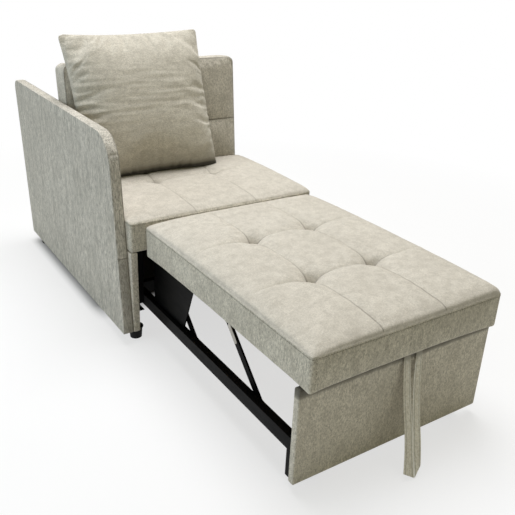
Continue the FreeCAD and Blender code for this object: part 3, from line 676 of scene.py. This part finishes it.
def build_arm():
    """The padded arm: two cloth faces and a boxing band sewn between them all round."""
    x0, x1 = ARM_X
    xs = [x0, x0 + 1.6, x0 + 4.2, x0 + 8.5, x0 + 14, x0 + 22, x1 - 8.5, x1 - 4.2, x1 - 1.6, x1]
    ys = lines(0, ARM_LENGTH, 112, 0.55)
    creases = [BAND_JOINT + off for off in (-4, -1.5, 0, 1.5, 4)]
    creases += [BAND_PINCH + off for off in (-6, -2, 2, 6)]
    zs = [z for z in lines(ARM_FOOT, ARM_TOP, 72, 0.55) if min(abs(z - c) for c in creases) > 2.5]
    bm = block_of(xs, ys, sorted(zs + creases))
    low, high = (x0, 0, ARM_FOOT), (x1, ARM_LENGTH, ARM_TOP)
    strengths = {}
    for vert in bm.verts:
        x, y, z = vert.co
        point = Vector((x, y, z))
        round_plane(point, low, high, 1, 2, (5, 5, ARM_ROUND, ARM_REAR_ROUND))
        u = point.y / ARM_LENGTH
        front, rear = arm_ends(point.z)
        rim = min(y, ARM_LENGTH - y, z - ARM_FOOT, ARM_TOP - z)
        point.y = front + u * (rear - front)
        # the faces swell a little, and the cloth over the boards has slow waves
        swell = 1.0 - math.exp(-max(rim, 0) / 55)
        wave = 0.9 * ripple(0, y, z * 0.6, 170, 4.4) + 0.35 * ripple(0, y, z * 0.45, 48, 9.1)
        outward = -1 if x < (x0 + x1) / 2 else 1
        if rim > 0.5:
            point.x += outward * (swell * (2.0 if outward < 0 else 0.6) + wave * swell * 0.7)
        else:
            # the band is drawn in beside each seam and stands a little proud between them
            off = min(x - x0, x1 - x)
            across = 1.0 if 8 < off else off / 8
            out = 1.6 * across - 1.3 * bell(x1 - x - 1.6, 1.5)
            pinch = bell(z - BAND_PINCH, 4) * (y < 60) * 3.0 * math.sin((x - x0) / 36 * math.pi)
            joint = bell(z - BAND_JOINT, 2.0) * (y < 20) * 2.0
            core = Vector((0, min(max(y, ARM_ROUND), ARM_LENGTH - ARM_REAR_ROUND),
                           min(max(z, ARM_FOOT + 5), ARM_TOP - ARM_ROUND)))
            away = Vector((0, y, z)) - core
            if away.length > 1e-6 and z > ARM_FOOT + 1:
                point += away.normalized() * (out - pinch - joint + 0.5 * ripple(x, y, z, 34, 2.2))
        # sewn lines darken the band, and its front strip below the joint takes painted shade
        strengths[vert] = max(bell(x1 - x - 1.6, 1.2) * (rim < 2.0),
                              bell(z - BAND_JOINT, 1.6) * (rim < 0.5) * (y < 20),
                              0.8 * bell(z - BAND_PINCH, 2.5) * (rim < 0.5) * (y < 60),
                              0.4 * (z < BAND_JOINT - 1) * (rim < 0.5) * (y < 20))
        vert.co = point
    store_seams_and_shade(bm, strengths)
    # the outer corners of the band are round
    bevel = []
    for edge in bm.edges:
        if len(edge.link_faces) == 2 and edge.calc_face_angle(0) > 0.9:
            a, b = edge.verts
            if abs(a.co.x - b.co.x) < 3 and max(a.co.z, b.co.z) > ARM_FOOT + 1:
                bevel.append(edge)
    bmesh.ops.bevel(bm, geom=bevel, offset=ARM_BEVEL, segments=4, profile=0.5, affect="EDGES",
                    material=-1, clamp_overlap=True)
    piece = finish_piece("arm_pad", to_metres(bm), arm_pile, "chair_base", ("arm_cover",),
                         lined=lambda at, normal: normal.x > 0.8 and at.z < 0.331 and -0.02 < at.y < 0.948)
    # its timber panel stands in this hollow
    carve(piece, mm(-371, 40, 60), mm(-347, 900, 600))


# ---------------------------------------------------------------- backrest

PIVOT = Vector((0, 493, 392.5))
LEAN = math.radians(-5.2)
BACK_X = (-337, 363)
BACK_HALF, BACK_TOP = 47.5, 445.3
BACK_SEAM = (592 - PIVOT.z) / math.cos(LEAN)
HINGES = (-247, 273)


def leaning(scale):
    """From the backrest's own upright place to its lean about the pivot."""
    return Matrix.Translation(PIVOT * scale) @ Matrix.Rotation(LEAN, 4, "X")


def build_back():
    """The padded backrest: a boxed block with a round lower end and a sewn line across."""
    x0, x1 = BACK_X
    half, top, share = BACK_HALF, BACK_TOP, BACK_SEAM
    ys = [-half, -half + 1.4, -half + 4, -half + 9, -28, -14, 0, 14, 28, half - 9, half - 4, half - 1.4, half]
    zs = lines(-half, 40, 8) [:-1] + lines(40, share, 20, 0.5)[:-1] + lines(share, top, 30, 0.5)
    xs = lines(x0, x1, 84, 0.55)
    bm = block_of(xs, ys, zs)
    low, high = (x0, -half, -half), (x1, half, top)
    strengths = {}
    for vert in bm.verts:
        x, y, z = vert.co
        point = Vector((x, y, z))
        round_plane(point, low, high, 1, 2, (half, half, 7, 10))
        round_plane(point, low, high, 0, 2, (0, 0, 24, 24))
        rim = min(x - x0, x1 - x, top - z)
        if y < -half + 0.5 and z > 0:
            u = 2 * (x - x0) / (x1 - x0) - 1
            side = (1 - abs(u) ** 6) ** 0.8 if abs(u) < 1 else 0
            part = (z - 40) / (share - 40) if z < share else (z - share) / (top - share)
            part = min(1.0, max(0.0, part))
            swell = (13 if z < share else 11) * (4 * part * (1 - part)) ** 0.55 * side
            line = bell(z - share, 3.2)
            wrinkle = 1.1 * ripple(x, 0, z * 1.3, 60, 2.7) + 0.5 * ripple(x * 0.7, 0, z * 1.6, 24, 8.8)
            point.y -= swell - 3.0 * line * side + wrinkle * min(1.0, max(0, rim) / 30)
            strengths[vert] = max(bell(z - share, 3.0), bell(rim, 4.5))
        elif y > half - 0.5:
            point.y += 1.1 * (ripple(x, 3, z, 150, 1.1) - 1) * min(1.0, max(0, rim) / 40)
            strengths[vert] = bell(rim, 2.5)
        else:
            off = min(y + half, half - y)
            draw = 1.3 * bell(off - 1.4, 1.3)
            puffed = min(1.0, off / 14) * 2.2 + 0.7 * ripple(x, y, z, 40, 6.2)
            side = Vector((0, 0, 0))
            if x - x0 < 0.5:
                side.x = -1
            elif x1 - x < 0.5:
                side.x = 1
            if top - z < 0.5:
                side.z = 1
            if side.length > 0 and z > 0:
                point += side.normalized() * (puffed - draw)
            strengths[vert] = bell(off - 1.4, 1.4)
        vert.co = point
    store_seams_and_shade(bm, strengths)
    upright = leaning(MM).inverted()

    def held(point):
        """Pin the rear, the band and the sewn line for the cloth pass."""
        x, y, z = (upright @ point) / MM
        if y > -half + 3:
            return 1.0
        rim = min(x - x0, x1 - x, top - z)
        return max(bell(z - share, 3.5), 1.0 if rim < 3 or z < 12 else 0.0)

    bmesh.ops.transform(bm, matrix=leaning(1), verts=bm.verts)
    to_metres(bm)
    puff(bm, "back_pad", held, 2.0, 0.010, 0.0035)
    piece = finish_piece("back_pad", bm, back_pile, "backrest", ("back_cushion", "back_cover"))
    # it is open for its hinges and its board
    piece.data.transform(upright)
    for x in HINGES:
        carve(piece, mm(x - 9.4, -15.6, -60), mm(x + 9.4, 70, 15.4))
        carve(piece, mm(x - 9.4, -15.6, 0), mm(x + 9.4, 25.5, 130))
    carve(piece, mm(x0 + 25, half - 24, half - 1), mm(x1 - 25, half - 7.5, 420.5))
    piece.data.transform(leaning(MM))


build_arm()
build_back()

# ---------------------------------------------------------------- throw pillow

PILLOW_CENTRE = (-65.5, 417.02, 693.6)
PILLOW_TURNS = ((-2.3, "Z"), (-19, "X"), (-1.3, "Y"))
PILLOW_HALF = 263.5
PILLOW_FRONT, PILLOW_REAR = 88, 33
SMOOTHED_CORNER = 105


def pillow_relief(x, z):
    """How far the filled front stands in or out, and how far its left seam is drawn in."""
    left, right = PILLOW_HALF + x, PILLOW_HALF - x
    # short puckers run in from the sewn sides
    run = z + 0.10 * left + 11 * ripple(0, 0, z, 60, 3.3)
    valley = 1 - 2.2 * abs(math.sin(run * math.pi / 31)) ** 0.5
    height = 0.6 + 0.9 * max(0.0, 0.5 + ripple(2, 0, z, 45, 8.1))
    reach = 34 + 26 * ripple(4, 0, z, 26, 5.9)
    near_left = math.exp(-(max(0.0, left - 14) / reach) ** 1.5) * min(1.0, left / 9) * bell(z - 45, 165)
    pucker = -6.0 * height * near_left * valley
    run = z - 0.14 * right + 8 * ripple(5, 0, z, 60, 1.3)
    valley = 1 - 2.4 * abs(math.sin(run * math.pi / 33)) ** 0.55
    near_right = math.exp(-(max(0.0, right - 9) / 26) ** 1.6) * min(1.0, right / 9) * bell(z + 10, 170)
    pucker -= 3.0 * near_right * valley
    drawn_in = 2.6 * near_left * valley if left < 30 else 0.0
    # long faint creases cross the middle, and the top has soft hollows
    lengthy = 2.4 * ripple(x * 0.10 + 0.05 * z, 0, z, 10, 6.6) * bell(z - 20, 110)
    lengthy += 1.4 * ripple(x * 0.3, 0, z * 0.8, 42, 2.9)
    top = 1.5 * ripple(x, 0, z * 0.5, 44, 4.7) * max(0.0, z / PILLOW_HALF)
    return (pucker + lengthy + top) * min(1.0, (PILLOW_HALF - abs(z)) / 16), drawn_in


def build_pillow():
    """A loose pillow: two square cloths sewn at the edge, filled, leaning on the backrest."""
    half = PILLOW_HALF
    along = lines(-half, half, 104, 0.3)
    bm = block_of(along, [-6, 0, 6], along)

    def drawn(u, w):
        """How far the sewn edge is pulled in between the corners, by the side it is on."""
        return 1 - 0.030 * (1 - w * w) * abs(u) ** 3

    for vert in bm.verts:
        x, y, z = vert.co
        u, w = x / half, z / half
        low_belly = w + 0.22 * (1 - w * w)
        boxed = min(1.0, (abs(u) ** 12 + abs(low_belly) ** 12) ** (1 / 12))
        arc = 2.4 if low_belly > 0 else 1.8
        lens = 0.65 * max(0.0, (1 - abs(u) ** 3.0) * (1 - abs(low_belly) ** arc)) ** 0.62
        lens += 0.35 * (1 - boxed ** 4) ** 0.5
        if abs(y) > 3:
            vert.co.y = math.copysign(2.2 + 50 * lens, y)
        else:
            vert.co.y = 0
        vert.co.x *= drawn(u, w)
        vert.co.z *= drawn(w, u)
        top_left = max(0.0, -u * w) ** 2 * (u < 0)
        vert.co.x -= 8 * top_left
        vert.co.z += 5 * top_left
        point = vert.co.copy()
        round_plane(point, (-half, 0, -half), (half, 0, half), 0, 2, (15, 15, 15, 15))
        vert.co = point
    strengths = {}
    for vert in bm.verts:
        up = vert.co.z + half
        # painted contact shadow along the foot and painted shade darkening the lower part; the sewn edge is a
        # darker line
        painted_foot_shadow = 3.0 * bell(up, 19) + 0.62 * bell(up, 100)
        strengths[vert] = max(painted_foot_shadow, 0.42 if abs(vert.co.y) < 0.5 else 0.0)
    store_seams_and_shade(bm, strengths)

    def held(point):
        """The sewn edge keeps its line, and the filling lifts the rest."""
        u, w = abs(point.x) / MM / half, abs(point.z) / MM / half
        corner = 0.7 * bell(math.hypot(1 - u, 1 - w), 0.26)
        return 0.9 if max(u / drawn(u, w), w / drawn(w, u)) > 0.985 else corner

    to_metres(bm)
    puff(bm, "pillow", held, 4.0, 0.045, 0.022, 22, 12.0, 0.12)
    bmesh.ops.scale(bm, vec=Vector((1 / MM,) * 3), verts=bm.verts)
    front = -min(v.co.y for v in bm.verts)
    rear = max(v.co.y for v in bm.verts)
    corners = [v for v in bm.verts if max(abs(v.co.x), abs(v.co.z)) < half - 9
               and math.hypot(half - abs(v.co.x), half - abs(v.co.z)) < SMOOTHED_CORNER]
    for _ in range(14):
        bmesh.ops.smooth_vert(bm, verts=corners, factor=0.5,
                              use_axis_x=True, use_axis_y=True, use_axis_z=True)
    for vert in bm.verts:
        x, y, z = vert.co
        vert.co.y = y * (PILLOW_FRONT / front if y < 0 else PILLOW_REAR / rear)
        if y > -1:
            # the rear bulges over the backrest's top
            vert.co.y *= 1 + 0.55 * min(1.0, max(0.0, (z - 95) / 60))
            continue
        relief, drawn_in = pillow_relief(x, z)
        vert.co.y -= relief
        vert.co.x += drawn_in
    pose = Matrix.Translation(Vector(PILLOW_CENTRE))
    for degrees, axis in PILLOW_TURNS:
        pose = pose @ Matrix.Rotation(math.radians(degrees), 4, axis)
    bmesh.ops.transform(bm, matrix=pose, verts=bm.verts)
    finish_piece("loose_pillow", to_metres(bm), pillow_pile, "throw_pillow", ("pillow",))


build_pillow()

# ---------------------------------------------------------------- upholstered boards


def board(name, low, high, body, node_name, counts, radius, wave, lined, folds=None, top_shade=0.0):
    """A board wrapped in cloth: soft edges, slow waves, and shade under what hangs over its top."""
    axes = [lines(low[i], high[i], counts[i], 0.7) for i in range(3)]
    bm = block_of(*axes)
    thin = min(range(3), key=lambda i: high[i] - low[i])
    centre = (low[thin] + high[thin]) / 2
    for vert in bm.verts:
        x, y, z = vert.co
        point = Vector((x, y, z))
        soften(point, low, high, radius)
        rim = min(min(vert.co[i] - low[i], high[i] - vert.co[i]) for i in range(3) if i != thin)
        lift = wave * (ripple(x, y, z * 0.6, 120, 3.7) + 0.4 * ripple(x, y, z * 0.5, 34, 8.3) - 0.9)
        if folds:
            lift += folds(x, y, z)
        fade = min(1.0, max(0, rim) / 25)
        point[thin] += math.copysign(1, vert.co[thin] - centre) * lift * fade
        vert.co = point
    # the top rim takes a painted shadow, as strong as top_shade, under what hangs over it
    store_seams_and_shade(bm, {v: 1 / (1 + math.exp((high[2] - 23 - v.co.z) / 3.5)) for v in bm.verts}, top_shade)
    finish_piece(name, to_metres(bm), panel_pile, body, (node_name,), lined=lined)


def facing(axis, sign, margin_low, margin_high):
    """Picks the faces that point along an axis, away from the board's rims."""
    rims = [i for i in range(3) if i != axis]

    def inside(at, normal):
        return normal[axis] * sign > 0.8 and all(margin_low[i] < at[i] / MM < margin_high[i] for i in rims)
    return inside


PANEL_TOP, PANEL_HEIGHT, PANEL_MIDDLE = 313, 285, -910
PANEL_FOLDS = ((-150, 1.4, 11), (-92, 2.4, 12), (-42, 3.4, 12), (4, 4.6, 12), (165, 1.8, 15), (240, 1.6, 17))


def panel_folds(x, y, z):
    """Soft upright creases in the cloth of the front panel, under the mattress's edge."""
    if y > PANEL_MIDDLE:
        return 0.0
    drop = (PANEL_TOP - z) / PANEL_HEIGHT
    made = 0.0
    for place, deep, wide in PANEL_FOLDS:
        run = place - 16 * drop + 5 * ripple(0, 0, z, 90, place)
        made -= deep * bell(x - run, wide) * math.exp(-((drop - 0.35) / 0.5) ** 2)
        made += 0.6 * deep * bell(x - run - wide * 1.6, wide) * math.exp(-((drop - 0.35) / 0.5) ** 2)
    return made


board("front_panel_cloth", (-290, -921.5, 28), (377, -899.5, PANEL_TOP), "bed_section", "front_panel",
      (96, 4, 44), 5, 0.9, facing(1, 1, (-280, 0, 38), (367, 0, 303)), panel_folds, 1.7)
board("front_post_cloth", (-341, -71.5, 41), (-317, -23.5, 332), "chair_base", "front_post_left",
      (6, 8, 44), 3.5, 0.4, facing(1, 1, (-338, 0, 45), (-320, 0, 328)))
board("side_board_cloth", (365, -71.5, 41), (377, 971.5, 332), "chair_base", "side_board_right",
      (4, 100, 30), 3.5, 0.8, facing(0, -1, (0, -66, 46), (0, 966, 330)))
board("rear_board_cloth", (-341, 949.5, 41), (365, 971.5, 332), "chair_base", "rear_board",
      (70, 4, 30), 4, 0.9, facing(1, -1, (-340, 0, 46), (364, 0, 331)))
board("rear_deck_cloth", (-341, 445.5, 332), (377, 971.5, 344), "chair_base", "rear_deck",
      (70, 54, 4), 3.5, 0.9, facing(2, -1, (-340, 446, 0), (376, 970, 0)))

# ---------------------------------------------------------------- pull strap


STRAP_ROUTE = ((-897.9, 267), (-897.9, 290), (-897.9, 316.2), (-923.2, 316.2), (-925, 296), (-950, 200),
               (-986, 98), (-1014, 40), (-1040, 4.5))
STRAP_MIDDLE = 74
STRAP_WIDTH, STRAP_SPREAD = 23, 8
STRAP_THICKNESS = 2.0


def strap_line():
    """Smooth path along the strap's route, over the panel and down, as points from a spline."""
    curve = bpy.data.curves.new("route", "CURVE")
    curve.dimensions = "3D"
    spline = curve.splines.new("NURBS")
    spline.points.add(len(STRAP_ROUTE) - 1)
    for point, (y, z) in zip(spline.points, STRAP_ROUTE):
        point.co = (0, y, z, 1)
    spline.order_u = 3
    spline.use_endpoint_u = True
    spline.resolution_u = 12
    body = bpy.data.objects.new("route", curve)
    mesh = bpy.data.meshes.new_from_object(body)
    made = [v.co.copy() for v in mesh.vertices]
    bpy.data.objects.remove(body)
    return made


def along_path(points, share):
    """Place and direction at a share of a path's length."""
    spans = [(b - a).length for a, b in zip(points, points[1:])]
    left = share * sum(spans)
    for (a, b), span in zip(zip(points, points[1:]), spans):
        if left <= span or b is points[-1]:
            return a + (b - a) * min(1.0, left / span), (b - a).normalized()
        left -= span


def build_strap():
    """Two limbs of one webbing band over the panel's top edge, folded to a point near the floor."""
    path = strap_line()
    across = [0, 0.05, 0.1, 0.17, 0.3, 0.5, 0.7, 0.83, 0.9, 0.95, 1.0]
    for side, name, replaced in ((-1, "strap_limb_left", ("pull_strap",)), (1, "strap_limb_right", ())):
        bm = block_of(across, [i / 90 for i in range(91)], [0, 0.5, 1.0])
        strengths = {}
        for vert in bm.verts:
            u, v, w = vert.co
            drop = min(1.0, max(0.0, (v - 0.2) / 0.8))
            gap = 20 * max(0.0, 1 - drop / 0.62) ** 1.1 + 0.6
            centre = STRAP_MIDDLE - 41 * drop - 16 * max(0.0, (drop - 0.55) / 0.45) ** 2
            inner = centre + side * gap / 2
            outer = centre + side * (gap / 2 + STRAP_WIDTH + STRAP_SPREAD * drop)
            x = inner + (outer - inner) * u
            # the lower end is folded to a point under the gap
            end = 1.0 - 0.055 * u * max(0.0, (v - 0.8) / 0.2)
            place, run = along_path(path, v * end)
            # outwards: to the front before the panel, to the rear behind it
            normal = Vector((0, run.z, -run.y))
            in_front = place.y < -905
            if (in_front and normal.y > 0) or (place.y > -905 and normal.y < 0):
                normal = -normal
            groove = 0.35 * (bell(u - 0.1, 0.05) + bell(u - 0.9, 0.05))
            thick = (w - 0.5) * (STRAP_THICKNESS - 2 * groove - 1.0 * (u < 0.01 or u > 0.99))
            curl = 0.8 * (2 * u - 1) ** 2 * drop + 1.0 * math.sin(v * 9 + side) * drop * (u - 0.5)
            vert.co = Vector((x, place.y, place.z)) + normal * (thick + curl * 0.6)
            # painted shadow where the limbs pass under the mattress's edge, fading down their upper part; the
            # sewn lines darken and the inner edge is paler
            painted_top_shadow = 1.5 / (1 + math.exp((293 - vert.co.z) / 4)) + 0.25 * bell(drop, 0.18)
            sewn = max(bell(u - 0.17, 0.04), bell(u - 0.83, 0.04)) - 1.2 * bell(u, 0.06)
            strengths[vert] = max(sewn, painted_top_shadow) if painted_top_shadow > 0.2 else sewn
        store_seams_and_shade(bm, strengths, 0.8)
        finish_piece(name, to_metres(bm), webbing, "bed_section", replaced)


build_strap()

# ---------------------------------------------------------------- CAD nodes that stay

for part in frame["record"]["subparts"]:
    shown = frame["nodes"][part["node"]]
    finish = NODE_MATERIALS.get(part["material_slot"])
    if finish is not None:
        shown.data.materials.clear()
        shown.data.materials.append(finish)

# ---------------------------------------------------------------- floor, light, camera


SHADED_UNDER_BASE = ((0, -0.40, -0.34), (0, 0.40, 0.34), (1, 0.12, 0.24), (1, 1.00, 0.93))


def stage_floor():
    """A plain pale floor, white to the camera further out, with painted shade where the base covers it."""
    bm = bmesh.new()
    bmesh.ops.create_grid(bm, x_segments=8, y_segments=8, size=9.0)
    mesh = bpy.data.meshes.new("floor")
    bm.to_mesh(mesh)
    bm.free()
    made, tree, shader, place = start_material("pale_floor")
    speck = pattern(tree, place, 3, detail=2)
    pale = mix(tree, speck, (0.80, 0.80, 0.80), (0.84, 0.84, 0.84))
    set_inputs(shader, Roughness=0.9, Specular_IOR_Level=0.1)
    glow = node(tree, "ShaderNodeEmission")
    rays = node(tree, "ShaderNodeLightPath")
    away = node(tree, "ShaderNodeVectorMath")
    away.operation = "LENGTH"
    link(tree, place, away.inputs[0])
    white = spread(tree, away.outputs["Value"], 1.0, 2.6, 0.66, 1.0)
    apart = node(tree, "ShaderNodeSeparateXYZ")
    link(tree, place, apart.inputs[0])
    sides = [spread(tree, apart.outputs[axis], outer, inner) for axis, outer, inner in SHADED_UNDER_BASE]
    shaded_under_base = sides[0]
    for side in sides[1:]:
        shaded_under_base = combine(tree, "MULTIPLY", shaded_under_base, side)
    # painted shade: under the base the floor's colour is dark grey, and the white glow is kept off it
    link(tree, mix(tree, shaded_under_base, pale, (0.10, 0.10, 0.10)), shader.inputs["Base Color"])
    white = combine(tree, "MULTIPLY", white, spread(tree, shaded_under_base, 0.0, 1.0, 1.0, 0.0))
    looks = combine(tree, "MAXIMUM", rays.outputs["Is Camera Ray"], rays.outputs["Is Glossy Ray"])
    choose = node(tree, "ShaderNodeMixShader")
    link(tree, combine(tree, "MULTIPLY", white, looks), choose.inputs["Fac"])
    link(tree, shader.outputs[0], choose.inputs[1])
    link(tree, glow.outputs[0], choose.inputs[2])
    link(tree, choose.outputs[0], tree.nodes["Material Output"].inputs["Surface"])
    mesh.materials.append(made)
    floor = bpy.data.objects.new("floor", mesh)
    scene.collection.objects.link(floor)


def area_light(name, place, target, size, power, colour):
    """A square soft light that looks at a point."""
    light = bpy.data.lights.new(name, "AREA")
    light.size, light.energy, light.color = size, power, colour
    made = bpy.data.objects.new(name, light)
    made.location = place
    made.rotation_euler = (Vector(target) - Vector(place)).to_track_quat("-Z", "Y").to_euler()
    scene.collection.objects.link(made)


def surroundings(strength, colour):
    """White where the camera sees it, and a soft fill for everything else."""
    world = bpy.data.worlds.new("surroundings")
    scene.world = world
    world.use_nodes = True
    tree = world.node_tree
    fill = tree.nodes["Background"]
    set_inputs(fill, Color=(*colour, 1), Strength=strength)
    seen = node(tree, "ShaderNodeBackground", Color=(1, 1, 1, 1))
    rays = node(tree, "ShaderNodeLightPath")
    choose = node(tree, "ShaderNodeMixShader")
    link(tree, rays.outputs["Is Camera Ray"], choose.inputs["Fac"])
    link(tree, fill.outputs["Background"], choose.inputs[1])
    link(tree, seen.outputs["Background"], choose.inputs[2])
    link(tree, choose.outputs["Shader"], tree.nodes["World Output"].inputs["Surface"])


CAMERA_PLACE = (-1.0974812511501514, -1.925157593429221, 1.2358219321895292)
CAMERA_TURNS = (-0.5921700429743224, 0.4290427671632809, 0.04151318498554134)
CAMERA_LENS = 46.9915


def photo_camera():
    """The camera at the photograph's place, angle and lens."""
    azimuth, elevation, roll = CAMERA_TURNS
    back = Vector((math.sin(azimuth) * math.cos(elevation), -math.cos(azimuth) * math.cos(elevation),
                   math.sin(elevation)))
    level = Vector((math.cos(azimuth), math.sin(azimuth), 0))
    up = back.cross(level)
    side = level * math.cos(roll) + up * math.sin(roll)
    top = -level * math.sin(roll) + up * math.cos(roll)
    data = bpy.data.cameras.new("camera")
    data.lens, data.sensor_width, data.sensor_fit = CAMERA_LENS, 36.0, "HORIZONTAL"
    made = bpy.data.objects.new("camera", data)
    turn = Matrix((side, top, back)).transposed().to_4x4()
    made.matrix_world = Matrix.Translation(CAMERA_PLACE) @ turn
    scene.collection.objects.link(made)
    scene.camera = made


LIT_POINT = (0, -0.1, 0.4)
stage_floor()
surroundings(0.22, (1.0, 0.965, 0.64))
area_light("ceiling", (0.35, 0.7, 4.4), LIT_POINT, 3.0, 233, (0.965, 0.965, 1.0))
area_light("left_window", (-3.2, 0.3, 1.3), LIT_POINT, 2.2, 31, (0.63, 0.80, 1.0))
photo_camera()
scene.view_settings.view_transform = "Standard"
